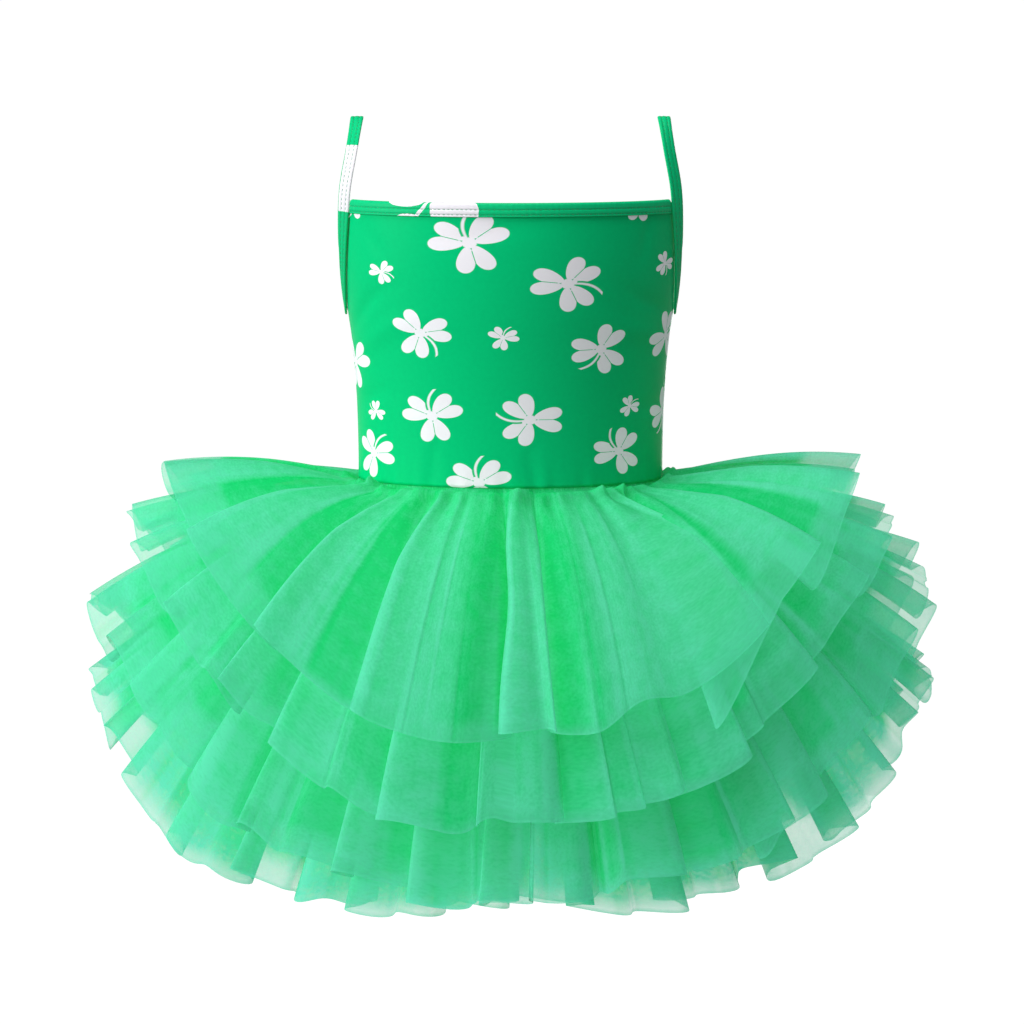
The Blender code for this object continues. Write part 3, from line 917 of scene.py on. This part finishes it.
def binding_rows(middle, half, top_edge):
    half = half - END_GAP
    azimuths = np.linspace(middle - half, middle + half, 240)
    for channel in CHANNEL_RISES:
        heights = top_edge(azimuths) + channel
        line = figure_points(azimuths, heights, ON_BINDING)
        yield line, line - figure_points(azimuths, heights)


def strap_rows(side):
    inner, across, normal, width = band
    for channel in CHANNEL_SHARES:
        line = inner + across * width * channel + normal * ON_STRAP
        yield [np.concatenate([part, part[:1]]) * (side, 1, 1) for part in (line, normal)]


stitches = {
    "neck_binding_front": sew("topstitch_neck_front", binding_rows(*FRONT_NECK, front_top)),
    "neck_binding_back": sew("topstitch_neck_back", binding_rows(*BACK_NECK, back_top)),
    "strap_left": sew("topstitch_strap_left", strap_rows(1)),
    "strap_right": sew("topstitch_strap_right", strap_rows(-1)),
}
for name, piece in stitches.items():
    print(name, "has", len(piece.data.polygons) // len(stitch_faces), "stitches")

# %% [markdown]
# ## Helpers for the materials
#
# Colours are written as sRGB hex values, as a paint chart gives them, and turned to the linear
# values that Blender computes with. One function adds any node, with its settings and links.
# Arithmetic between nodes is written as a plain sum, and each step of it adds a maths node.


# %% Colour and node helpers
def colour(hex_value, share=1.0):
    """Linear RGBA from an sRGB hex value such as '#04B46C'. A share under 1 makes it deeper."""
    parts = [int(hex_value[k : k + 2], 16) / 255 for k in (1, 3, 5)]
    linear = [c / 12.92 if c <= 0.04045 else ((c + 0.055) / 1.055) ** 2.4 for c in parts]
    return (*[share * c for c in linear], 1.0)


def add(tree, kind, inputs=None, **settings):
    """A node with settings by name and inputs by name or number: values, or links to make."""
    node = tree.nodes.new(kind)
    for name, value in settings.items():
        setattr(node, name, value)
    for key, value in (inputs or {}).items():
        if isinstance(value, Number):
            value = value.value
        if isinstance(value, bpy.types.Node):
            value = value.outputs[0]
        if isinstance(value, bpy.types.NodeSocket):
            tree.links.new(value, node.inputs[key])
        else:
            node.inputs[key].default_value = value
    return node


class Number:
    """A number in a node tree: a node's output, or a constant. A sum with it adds a node."""

    def __init__(self, tree, value):
        self.tree, self.value = tree, value

    def do(self, operation, *others, clamp=False):
        inputs = dict(enumerate([self, *others]))
        node = add(self.tree, "ShaderNodeMath", inputs, operation=operation, use_clamp=clamp)
        return Number(self.tree, node.outputs[0])

    def __rsub__(self, other):
        return Number(self.tree, other).do("SUBTRACT", self)

    __add__ = partialmethod(do, "ADD")
    __sub__ = partialmethod(do, "SUBTRACT")
    __mul__ = partialmethod(do, "MULTIPLY")
    __truediv__ = partialmethod(do, "DIVIDE")


def new_material(name):
    material = bpy.data.materials.new(name)
    material.use_nodes = True
    material.node_tree.nodes.clear()
    return material, material.node_tree


def show(tree, shader):
    add(tree, "ShaderNodeOutputMaterial", {"Surface": shader})


def flat_map(tree):
    return add(tree, "ShaderNodeUVMap", uv_map="flat_mm")


def mapping(tree, vector, scale, place=(0.0, 0.0, 0.0), turn=0.0):
    """The vector as it reads in a frame of its own, which is placed, turned and scaled."""
    inputs = {"Vector": vector, "Location": place, "Rotation": (0.0, 0.0, turn)}
    inputs["Scale"] = (*scale, 1.0)
    return add(tree, "ShaderNodeMapping", inputs, vector_type="TEXTURE")


def first_two(tree, vector):
    """The first two parts of a vector, as numbers."""
    node = add(tree, "ShaderNodeSeparateXYZ", {0: vector})
    return Number(tree, node.outputs[0]), Number(tree, node.outputs[1])


def noise(tree, vector, scale, detail):
    inputs = {"Vector": vector, "Scale": scale, "Detail": detail}
    return Number(tree, add(tree, "ShaderNodeTexNoise", inputs).outputs["Fac"])


def blend(tree, share, first, second):
    """A mix of two colours: the first where share is 0, the second where it is 1."""
    inputs = {0: share, 6: first, 7: second}
    return add(tree, "ShaderNodeMix", inputs, data_type="RGBA").outputs[2]


print("leaf green in linear values:", [round(value, 3) for value in colour("#04B46C")])

# %% [markdown]
# ## The shamrock print
#
# The bodice is printed with loose white shamrocks, an ordinary leaf motif. Each has three
# heart-shaped leaves and a curved stem. A node group draws one of unit size about the origin:
# it folds the plane into three equal sectors, so that one leaf serves for all, and makes the
# leaf from two egg-shaped lobes with a fine line between them. The chart says where each
# shamrock lies on the flat cloth, its radius, and which way its stem points.


# %% Node group for one shamrock
def make_shamrock_group():
    tree = bpy.data.node_groups.new("shamrock", "ShaderNodeTree")
    tree.interface.new_socket("Place", in_out="INPUT", socket_type="NodeSocketVector")
    tree.interface.new_socket("Ink", in_out="OUTPUT", socket_type="NodeSocketFloat")
    x, y = first_two(tree, add(tree, "NodeGroupInput"))
    radius = (x * x + y * y).do("SQRT")
    # The stem points along +X, so the leaves are at 60, 180 and 300 degrees.
    angle = y.do("ARCTAN2", x)
    sector = angle.do("FLOORED_MODULO", math.radians(120)) - math.radians(60)
    # A lobe lies beside its leaf's own line, turned a little away from it.
    on_line = radius * sector.do("COSINE")
    from_line = (radius * sector.do("SINE")).do("ABSOLUTE")
    turn, out, aside, half_length = math.radians(17), 0.515, 0.196, 0.430
    cosine, sine = math.cos(turn), math.sin(turn)
    along = (from_line * sine + on_line * cosine - (out * cosine + aside * sine)) / half_length
    beside = from_line * cosine - on_line * sine - (aside * cosine - out * sine)
    beside = beside / ((along * 0.30 + 1.0) * 0.218)
    lobe = (1.0 - (along * along + beside * beside)) * 9.0
    gap = (from_line - 0.006) * 90.0
    inner = (0.28 - radius) * 30.0
    middle = (0.19 - radius) * 30.0
    leaf = lobe.do("MINIMUM", gap.do("MAXIMUM", inner)).do("MAXIMUM", middle)
    curve = x * (0.20 - x * x * 0.46)
    off_stem = (y - curve).do("ABSOLUTE") - (x * 0.026 + 0.040)
    clear = (off_stem - 0.035).do("MAXIMUM", 0.24 - x) * 40.0
    stem = (off_stem * -30.0).do("MINIMUM", (0.98 - x) * x * 60.0)
    ink = leaf.do("MINIMUM", clear).do("MAXIMUM", stem, clamp=True)
    add(tree, "NodeGroupOutput", {"Ink": ink})
    return tree


shamrock = make_shamrock_group()
print("nodes that draw one shamrock:", len(shamrock.nodes))

# %% The print's chart, front and back
Motif = namedtuple("Motif", "azimuth height radius stem")
PRINT_STRETCH = (1.10, 0.82)  # worn knit is pulled wider round the body, and gets shorter
FRONT_PRINT = (
    (-13.8, 144.0, 22.5, 107), (19.7, 119.9, 20.5, 354), (-33.6, 90.5, 18.5, 320),
    (34.2, 81.0, 18.5, 235), (-30.2, 41.6, 19.5, 100), (7.2, 40.1, 19.5, 180),
    (44.6, 20.0, 17.5, 130), (-11.7, 2.9, 19.5, 100), (-62.7, 17.1, 18.0, 60),
    (-79.8, 70.3, 20.0, 200), (75.5, 86.1, 19.0, 20), (80.5, 40.8, 18.0, 250),
    (-49.5, 125.6, 9.0, 350), (-2.6, 88.4, 9.0, 70), (-60.2, 42.4, 8.0, 160),
    (50.1, 46.2, 8.0, 40), (65.5, 129.8, 9.0, 300), (-67.0, 165.0, 12.0, 250),
    (49.0, 166.5, 14.0, 80),
)
BACK_PRINT = (
    (-68.0, 71.0, 20.0, 40), (-34.0, 96.0, 18.5, 210), (-6.0, 84.0, 20.5, 300),
    (26.0, 98.0, 18.0, 120), (58.0, 78.0, 19.5, 330), (-44.0, 44.0, 19.0, 150),
    (-13.0, 34.0, 19.5, 75), (18.0, 50.0, 18.5, 240), (46.0, 34.0, 19.0, 10),
    (-68.0, 22.0, 18.0, 280), (2.0, 4.0, 18.0, 160), (76.0, 10.0, 18.0, 100),
    (-44.0, 75.0, 7.5, 20), (2.0, 60.0, 7.5, 330), (40.0, 64.0, 8.5, 200),
    (-30.0, 12.0, 9.0, 45), (74.0, 46.0, 8.5, 130),
)


def draw_print(tree, motifs):
    """Ink, 0 or 1, of all the motifs of a chart, read from the worn cloth in mm."""
    wide, tall = PRINT_STRETCH
    unworn = mapping(tree, flat_map(tree), PRINT_STRETCH)
    ink = Number(tree, 0.0)
    for motif in (Motif(*row) for row in motifs):
        place = (float(cloth_across(motif.azimuth)) / wide, motif.height / tall, 0.0)
        stem = math.radians(motif.stem)
        stem = math.atan2(math.sin(stem) / tall, math.cos(stem) / wide)
        at = mapping(tree, unworn, (motif.radius, motif.radius), place, stem)
        leaf = add(tree, "ShaderNodeGroup", {"Place": at}, node_tree=shamrock)
        ink = ink.do("MAXIMUM", leaf)
    return ink


print("shamrocks charted:", len(FRONT_PRINT), "on the front and", len(BACK_PRINT), "on the back")

# %% [markdown]
# ## Stretch knit
#
# The bodice is a warp-knitted mix of nylon and elastane, as for swimwear. It is smooth with a
# soft gloss, and only near to the eye does it show fine upright ribs, one loop wide. The ribs
# are about 0.5 mm apart on the cloth. The white ink is matt and lies on the surface, and on the
# bodice it is given a faint glow of its own, painted light that keeps it white on the shaded
# side. The bindings and straps are the same knit, folded, with parts of the print as plain patches.

# %% Knit, with white ink on it
KNIT_GREEN, TRIM_GREEN, THREAD_GREEN = "#00D282", "#00CC82", "#06A264"
KNIT_SHEEN = "#30F0A8"
INSIDE_GREEN = "#2CCB93"  # the print is on the outside, so the inside is plain and a little paler
INK_WHITE = "#F4F1F8"
INK_PAINTED_GLOW = 0.10  # painted light: the white ink glows a little of itself, to stay white on the shaded side
INK_ROUGHER = 0.20
RIB_MM = 1.1  # the real 0.5 mm ribs are too fine to show, so they are drawn twice as coarse
Finish = namedtuple("Finish", "deeper relief rough shine sheen")
SMOOTH = Finish(0.90, 0.10, 0.42, 0.025, 0.01)
FOLDED = Finish(0.88, 0.12, 0.45, 0.08, 0.04)


def knit_material(name, green, finish, draw_ink=None, marks=()):
    """Ribbed knit, with ink where draw_ink puts these marks."""
    material, tree = new_material(name)
    flat_mm = flat_map(tree)
    inputs = {"Vector": flat_mm, "Distortion": 0.4, "Detail Scale": 2.0}
    inputs["Scale"] = 2 * math.pi / (20 * RIB_MM)
    waves = {"wave_type": "BANDS", "bands_direction": "X", "wave_profile": "SIN"}
    ribs = add(tree, "ShaderNodeTexWave", inputs, **waves).outputs["Fac"]
    yarn = noise(tree, flat_mm, 0.35, 3.0)
    inputs = {"Height": yarn + ribs, "Strength": finish.relief, "Distance": 0.0001}
    relief = add(tree, "ShaderNodeBump", inputs)
    inputs = {
        "Base Color": blend(tree, yarn, colour(green), colour(green, finish.deeper)),
        "Roughness": finish.rough,
        "IOR": 1.5,
        "Specular IOR Level": finish.shine,
        "Sheen Weight": finish.sheen,
        "Sheen Roughness": 0.4,
        "Sheen Tint": colour(KNIT_SHEEN),
        "Normal": relief,
    }
    if draw_ink:
        ink = draw_ink(tree, marks)
        inputs["Base Color"] = blend(tree, ink, inputs["Base Color"], colour(INK_WHITE))
    if draw_ink is draw_print:
        inputs["Roughness"] = ink * INK_ROUGHER + finish.rough
        # Painted light: the ink glows a little of itself, so that it stays white on the shaded
        # side.
        inputs["Emission Color"] = colour(INK_WHITE)
        inputs["Emission Strength"] = ink * INK_PAINTED_GLOW
    show(tree, add(tree, "ShaderNodeBsdfPrincipled", inputs))
    return material


knit_inside = knit_material("stretch_knit_inside", INSIDE_GREEN, SMOOTH)
for panel, name, motifs in (
    (bodice_front, "stretch_knit_printed_front", FRONT_PRINT),
    (bodice_back, "stretch_knit_printed_back", BACK_PRINT),
):
    panel.data.materials.append(knit_material(name, KNIT_GREEN, SMOOTH, draw_print, motifs))
    panel.data.materials.append(knit_inside)
    panel.modifiers["Wall"].material_offset = 1
print("the panels have a printed outside and a plain inside")

# %% Bindings, straps and thread
Patch = namedtuple("Patch", "first last middle half slant", defaults=(0.0,))


def draw_patches(tree, patches):
    """Ink of white patches. Each is an oval from first to last along the strip, in mm, with its
    middle and half width across the strip. It may slant along the strip."""
    flat_mm = flat_map(tree)
    on, over = first_two(tree, flat_mm)
    along = noise(tree, flat_mm, 0.16, 1.0) * 2.0 + on
    ink = Number(tree, 0.0)
    for patch in patches:
        middle = (patch.first + patch.last) / 2 + 1.0 + patch.slant * patch.middle
        beside = (over * patch.slant + along - middle) / ((patch.last - patch.first) / 2)
        across = (over - patch.middle) / patch.half
        spread = beside * beside + across * across
        ink = ink.do("MAXIMUM", spread.do("LESS_THAN", 1.0))
    return ink


def neck_patch(first, last, *across):
    return Patch(*(float(cloth_across(azimuth)) for azimuth in (first, last)), *across)


NECK_PATCHES = (  # a leaf's rim, another leaf's tip, a stem and most of a leaf
    neck_patch(-44.0, -28.5, 9.5, 3.4),
    neck_patch(-39.5, -30.5, -0.3, 2.2),
    neck_patch(-30.2, -28.4, 4.0, 8.0, -0.75),
    neck_patch(-25.8, -7.6, 4.0, 12.0, 0.1),
)
STRAP_PATCHES = (Patch(-2.0, 35.0, 8.0, 40.0), Patch(266.0, 276.0, 8.0, 40.0))
plain = knit_material("stretch_knit_trim", TRIM_GREEN, FOLDED)
for strip, name, patches in (
    (binding_front, "stretch_knit_trim_neck", NECK_PATCHES),
    (strap_right, "stretch_knit_trim_strap", STRAP_PATCHES),
):
    strip.data.materials.append(knit_material(name, TRIM_GREEN, FOLDED, draw_patches, patches))
for strip in (binding_back, strap_left):
    strip.data.materials.append(plain)

thread, tree = new_material("polyester_sewing_thread")
fuzz = noise(tree, add(tree, "ShaderNodeTexCoord").outputs["Object"], 2500.0, 2.0)
strand = blend(tree, fuzz, colour(THREAD_GREEN), colour(THREAD_GREEN, 0.7))
inputs = {"Base Color": strand, "Roughness": 0.4, "Sheen Weight": 0.1}
show(tree, add(tree, "ShaderNodeBsdfPrincipled", inputs))
for row in stitches.values():
    row.data.materials.append(thread)
print("materials so far:", sorted(material.name for material in bpy.data.materials))

# %% [markdown]
# ## Tulle net
#
# Soft tulle is a nylon net of fine six-sided holes about 1 mm across. At this distance the
# holes can't be told apart, and the eye sees a matt haze with a fine mottle, denser where the
# net is crowded or folded. The threads scatter light to both sides, so the cloth glows a little
# where it is lit from behind. The material mixes a matt and a translucent green, and lets
# the rest of the view through. How much it hides comes from the cover value on the mesh, broken
# up by two sizes of noise and by faint streaks.

# %% Material of the tulle
# The second green is that of crowded net, and also of the painted shade in folds, near the seam and
# on creases.
TULLE_GREEN, TULLE_DEEP_AND_SHADE = "#66E6C0", "#04DC80"
GRAIN_MM, MOTTLE_MM = 1.6, 8.0  # the real 1 mm net is drawn a little coarser, so that it shows
STREAK_MM = 4.0  # width of the faint lines that creased net keeps along its folds
SHADE_SHARE = 0.68  # of the net's own cover, how much less it counts for shade
THROUGH_SHARE = 0.38  # of the light that the threads scatter, how much goes on through


def make_tulle_material():
    material, tree = new_material("nylon_tulle_net")
    flat_mm = flat_map(tree)
    hides, deep = (
        Number(tree, add(tree, "ShaderNodeAttribute", attribute_name=name).outputs["Fac"])
        for name in ("cover", "deep")
    )
    # Each size of unevenness: its width and length on the cloth in mm, how much it changes what
    # the net hides, and how much it changes the colour
    for wide, long, strength, tint in (
        (GRAIN_MM, GRAIN_MM, 0.26, 0.42),
        (MOTTLE_MM, MOTTLE_MM, 0.20, 0.60),
        (STREAK_MM, 24 * STREAK_MM, 0.12, 0.4),
    ):
        grain = noise(tree, mapping(tree, flat_mm, (wide, long)), 1.0, 1.0)
        share = grain.do("MULTIPLY_ADD", strength, 1 - strength / 2)
        hides = hides.do("MULTIPLY", share, clamp=True)
        change = grain.do("MULTIPLY_ADD", -tint, tint / 2)
        deep = deep.do("ADD", change, clamp=True)
    # The colour value on the mesh, painted shade included, deepens the green.
    green = blend(tree, deep, colour(TULLE_GREEN), colour(TULLE_DEEP_AND_SHADE))
    inputs = {"Base Color": green, "Roughness": 0.7, "Specular IOR Level": 0.2}
    matt = add(tree, "ShaderNodeBsdfPrincipled", inputs)
    glow = add(tree, "ShaderNodeBsdfTranslucent", {"Color": green})
    net = add(tree, "ShaderNodeMixShader", {0: THROUGH_SHARE, 1: matt, 2: glow})
    # Light that one thread scatters goes on to the next, so net in the shade of net stays bright.
    shade = Number(tree, add(tree, "ShaderNodeLightPath").outputs["Is Shadow Ray"])
    hides = hides * shade.do("MULTIPLY_ADD", -SHADE_SHARE, 1.0)
    clear = add(tree, "ShaderNodeBsdfTransparent")
    show(tree, add(tree, "ShaderNodeMixShader", {0: hides, 1: clear, 2: net}))
    return material


tulle_net = make_tulle_material()
for piece, _, _ in tulle:
    piece.data.materials.append(tulle_net)
print("nodes that draw the net:", len(tulle_net.node_tree.nodes))

# %% [markdown]
# ## What each piece stands for
#
# Each finished piece takes the place of its solid. The table says how large its cloth was when it
# was cut, and its mesh area is printed as a share of that. The stitches ride along with the strips
# that they hold down.

Cut = namedtuple("Cut", "piece node slot flat area held", defaults=(None, "stretched"))
cuts = [
    Cut(bodice_front, "bodice_front", "knit", (0.245, 0.166), 0.036),
    Cut(bodice_back, "bodice_back", "knit", (0.245, 0.128), 0.0278),
    Cut(binding_front, "neck_binding_front", "trim", (0.205, 0.0175)),
    Cut(binding_back, "neck_binding_back", "trim", (0.225, 0.0175)),
    Cut(strap_left, "strap_left", "trim", (0.275, 0.0165)),
    Cut(strap_right, "strap_right", "trim", (0.275, 0.0165)),
]
for index, (piece, longest, mean) in enumerate(tulle):
    flat = (CUT_WIDTHS[index], round(longest, 3))
    area = round(CUT_WIDTHS[index] * mean, 4)
    cuts.append(Cut(piece, f"tulle_layer_{index + 1}", "tulle", flat, area, "gathered"))
for cut in cuts:
    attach(cut.piece, "root")
    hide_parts(cut.node)
    sewn = [stitches[cut.node]] if cut.node in stitches else []
    for row in sewn:
        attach(row, "root")
    area = sum(polygon.area for polygon in cut.piece.data.polygons)
    cut_area = cut.area or cut.flat[0] * cut.flat[1]
    print(f"{cut.node}: mesh area is {area / cut_area:.2f} of the flat cut")

# %% [markdown]
# ## Floor, light and camera
#
# The dress is seen against plain white, a little from above, with a soft light from the
# viewer's left. A pale floor well below the hem and a pale sky give the white. The key light is
# a large panel, so its shadows are soft. The sky fills them, and it is dimmer as a light than it
# looks. The floor glows like a light table, evenly, and it takes up most of what falls on it: a
# bright spot on it would shine through the net. It sends no light up to the dress, so the shaded
# side keeps its depth. A panel behind the dress, which the camera doesn't see, stands for the lit
# white wall of a studio: it shines through the net and hardly touches the front of the bodice.

# %% Stage and lights
FLOOR_DROP = 0.85
SKY_LIGHT = 0.20
bpy.ops.object.select_all(action="DESELECT")
bpy.ops.mesh.primitive_plane_add(size=400.0, location=(0.0, 0.0, -FLOOR_DROP))
floor = bpy.context.object
floor.name = "floor"
floor.visible_diffuse = False
table, tree = new_material("opal_light_table")
inputs = {"Base Color": colour("#484848"), "Roughness": 0.9, "Specular IOR Level": 0.0}
inputs.update({"Emission Color": colour("#FFFFFF"), "Emission Strength": 1.0})
show(tree, add(tree, "ShaderNodeBsdfPrincipled", inputs))
floor.data.materials.append(table)
floor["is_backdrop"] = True

world = bpy.data.worlds.new("studio")
bpy.context.scene.world = world
world.use_nodes = True
world.node_tree.nodes.clear()
seen = add(world.node_tree, "ShaderNodeLightPath").outputs["Is Camera Ray"]
inputs = {"Value": seen, "To Min": SKY_LIGHT, "To Max": 1.0}
strength = add(world.node_tree, "ShaderNodeMapRange", inputs)
inputs = {"Color": colour("#FFFFFF"), "Strength": strength}
sky = add(world.node_tree, "ShaderNodeBackground", inputs)
add(world.node_tree, "ShaderNodeOutputWorld", {"Surface": sky})


def aim_at(thing, place, aim):
    thing.location = place
    thing.rotation_euler = (Vector(aim) - Vector(place)).to_track_quat("-Z", "Y").to_euler()


def add_panel(name, place, aim, size, watts):
    """A square light panel that faces aim."""
    light = bpy.data.lights.new(name, "AREA")
    light.size, light.energy = size, watts
    panel = put_in_scene(name, light)
    aim_at(panel, place, aim)
    panel.visible_camera = False


AIM, SKIRT = (0.0009, 0.0, -0.235), (0.0, 0.0, -0.34)
add_panel("key_panel", (-2.3, -1.0, 0.55), AIM, 1.3, 54.0)
add_panel("front_panel", (-0.6, -2.8, 0.9), AIM, 1.4, 9.0)
add_panel("top_panel", (-0.2, -0.6, 2.2), AIM, 1.5, 36.0)
add_panel("back_panel", (0.3, 2.6, -0.4), SKIRT, 1.0, 21.0)
print("panels that light the dress:", len(bpy.data.lights))

# %% Camera at the photograph's place
ELEVATION, DISTANCE, FRAME_WIDTH = math.radians(6.5), 3.0, 0.6144
MOST_NET_CROSSED = 80  # how many shells of net a ray may pass
camera_data = bpy.data.cameras.new("camera")
camera_data.lens = 36.0 * DISTANCE / FRAME_WIDTH
camera_data.clip_end = 500.0
camera = put_in_scene("camera", camera_data)
from_aim = DISTANCE * Vector((0, -math.cos(ELEVATION), math.sin(ELEVATION)))
aim_at(camera, Vector(AIM) + from_aim, AIM)
bpy.context.scene.camera = camera
bpy.context.scene.view_settings.view_transform = "Standard"
bpy.context.scene.cycles.transparent_max_bounces = MOST_NET_CROSSED
print(f"lens {camera_data.lens:.1f} mm, {DISTANCE} m from the dress")

# %% [markdown]
# ## Finish
#
# The sizes of the solids and of the dressed model are kept side by side, and the box of the
# dressed model is printed.

# %% The sizes of the solids and of the dressed model
size = {"cad": cad_bounds, "visual": [list(map(float, corner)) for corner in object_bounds()]}
print("dressed box in metres:", [[round(value, 4) for value in c] for c in size["visual"]])
